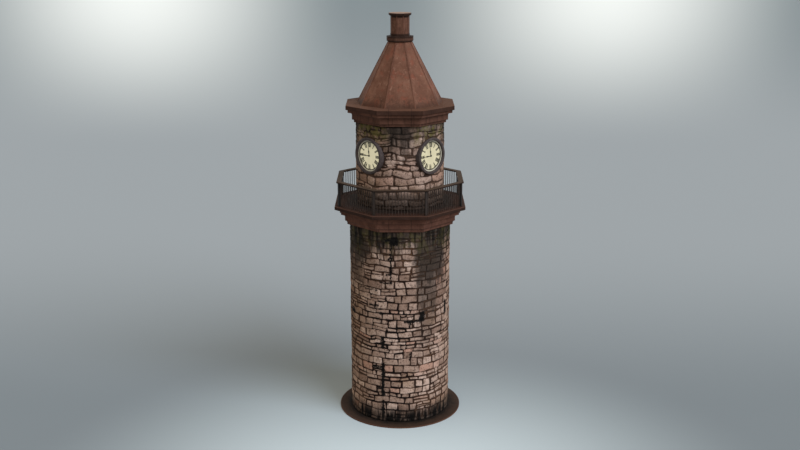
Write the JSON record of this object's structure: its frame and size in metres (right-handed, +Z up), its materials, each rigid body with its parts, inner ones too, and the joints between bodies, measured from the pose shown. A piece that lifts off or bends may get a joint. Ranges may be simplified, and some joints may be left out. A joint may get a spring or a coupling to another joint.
{
  "type": "clock tower",
  "caption": "Round rubble-stone clock tower with an octagonal railed balcony, a clock room with dials on its diagonals and a faceted spire.",
  "frame": {"origin": "centre of the underside of the base disc, on the ground", "axes": "+Z up the tower's axis, -Y towards the front side between two dials"},
  "size_m": [5.86, 5.86, 18.496],
  "materials": {
    "rubble_stone": "matte",
    "base_stone": "matte",
    "deck_stone": "matte",
    "cornice_stone": "matte",
    "railing_iron": "matte",
    "post_iron": "matte",
    "handrail_wood": "matte",
    "rim_iron": "matte",
    "dial_enamel": "satin",
    "roof_metal": "matte",
    "hand_metal": "satin"
  },
  "bodies": {
    "tower": {"base_disc": "base_stone", "shaft_wall_front": "rubble_stone", "shaft_wall_front_right": "rubble_stone", "shaft_wall_right": "rubble_stone", "shaft_wall_back_right": "rubble_stone", "shaft_wall_back": "rubble_stone", "shaft_wall_back_left": "rubble_stone", "shaft_wall_left": "rubble_stone", "shaft_wall_front_left": "rubble_stone", "balcony_bed_mould": "cornice_stone", "balcony_cornice": "cornice_stone", "balcony_deck": "deck_stone", "railing_front": "railing_iron", "railing_front_right": "railing_iron", "railing_right": "railing_iron", "railing_back_right": "railing_iron", "railing_back": "railing_iron", "railing_back_left": "railing_iron", "railing_left": "railing_iron", "railing_front_left": "railing_iron", "rail_posts": "post_iron", "handrail": "handrail_wood", "clock_wall_front": "rubble_stone", "clock_wall_front_right": "rubble_stone", "clock_wall_right": "rubble_stone", "clock_wall_back_right": "rubble_stone", "clock_wall_back": "rubble_stone", "clock_wall_back_left": "rubble_stone", "clock_wall_left": "rubble_stone", "clock_wall_front_left": "rubble_stone", "clock_rims": "rim_iron", "dials": "dial_enamel", "eaves_bed_mould": "cornice_stone", "eaves_cornice": "cornice_stone", "roof": "roof_metal", "finial_collar": "roof_metal", "finial_drum": "roof_metal", "finial_cap": "roof_metal"},
    "hour_hand_front_right": {"hour_hand_front_right": "hand_metal"},
    "hour_hand_back_right": {"hour_hand_back_right": "hand_metal"},
    "hour_hand_back_left": {"hour_hand_back_left": "hand_metal"},
    "hour_hand_front_left": {"hour_hand_front_left": "hand_metal"},
    "minute_hand_front_right": {"minute_hand_front_right": "hand_metal"},
    "minute_hand_back_right": {"minute_hand_back_right": "hand_metal"},
    "minute_hand_back_left": {"minute_hand_back_left": "hand_metal"},
    "minute_hand_front_left": {"minute_hand_front_left": "hand_metal"}
  },
  "joints": [
    {"name": "minute_turn_front_right", "type": "hinge", "parent": "tower", "child": "minute_hand_front_right", "pos_m": [1.3435, -1.3435, 12.4], "axis": [-0.7071, 0.7071, 0], "continuous": true},
    {"name": "hour_turn_front_right", "type": "hinge", "parent": "tower", "child": "hour_hand_front_right", "pos_m": [1.3435, -1.3435, 12.4], "axis": [-0.7071, 0.7071, 0], "continuous": true},
    {"name": "minute_turn_back_right", "type": "hinge", "parent": "tower", "child": "minute_hand_back_right", "pos_m": [1.3435, 1.3435, 12.4], "axis": [-0.7071, -0.7071, 0], "continuous": true},
    {"name": "hour_turn_back_right", "type": "hinge", "parent": "tower", "child": "hour_hand_back_right", "pos_m": [1.3435, 1.3435, 12.4], "axis": [-0.7071, -0.7071, 0], "continuous": true},
    {"name": "minute_turn_back_left", "type": "hinge", "parent": "tower", "child": "minute_hand_back_left", "pos_m": [-1.3435, 1.3435, 12.4], "axis": [0.7071, -0.7071, 0], "continuous": true},
    {"name": "hour_turn_back_left", "type": "hinge", "parent": "tower", "child": "hour_hand_back_left", "pos_m": [-1.3435, 1.3435, 12.4], "axis": [0.7071, -0.7071, 0], "continuous": true},
    {"name": "minute_turn_front_left", "type": "hinge", "parent": "tower", "child": "minute_hand_front_left", "pos_m": [-1.3435, -1.3435, 12.4], "axis": [0.7071, 0.7071, 0], "continuous": true},
    {"name": "hour_turn_front_left", "type": "hinge", "parent": "tower", "child": "hour_hand_front_left", "pos_m": [-1.3435, -1.3435, 12.4], "axis": [0.7071, 0.7071, 0], "continuous": true}
  ],
  "couplings": [
    {"joint": "hour_turn_front_right", "follows": "minute_turn_front_right", "ratio": 0.083333},
    {"joint": "minute_turn_back_right", "follows": "minute_turn_front_right", "ratio": 1},
    {"joint": "hour_turn_back_right", "follows": "minute_turn_front_right", "ratio": 0.083333},
    {"joint": "minute_turn_back_left", "follows": "minute_turn_front_right", "ratio": 1},
    {"joint": "hour_turn_back_left", "follows": "minute_turn_front_right", "ratio": 0.083333},
    {"joint": "minute_turn_front_left", "follows": "minute_turn_front_right", "ratio": 1},
    {"joint": "hour_turn_front_left", "follows": "minute_turn_front_right", "ratio": 0.083333}
  ]
}
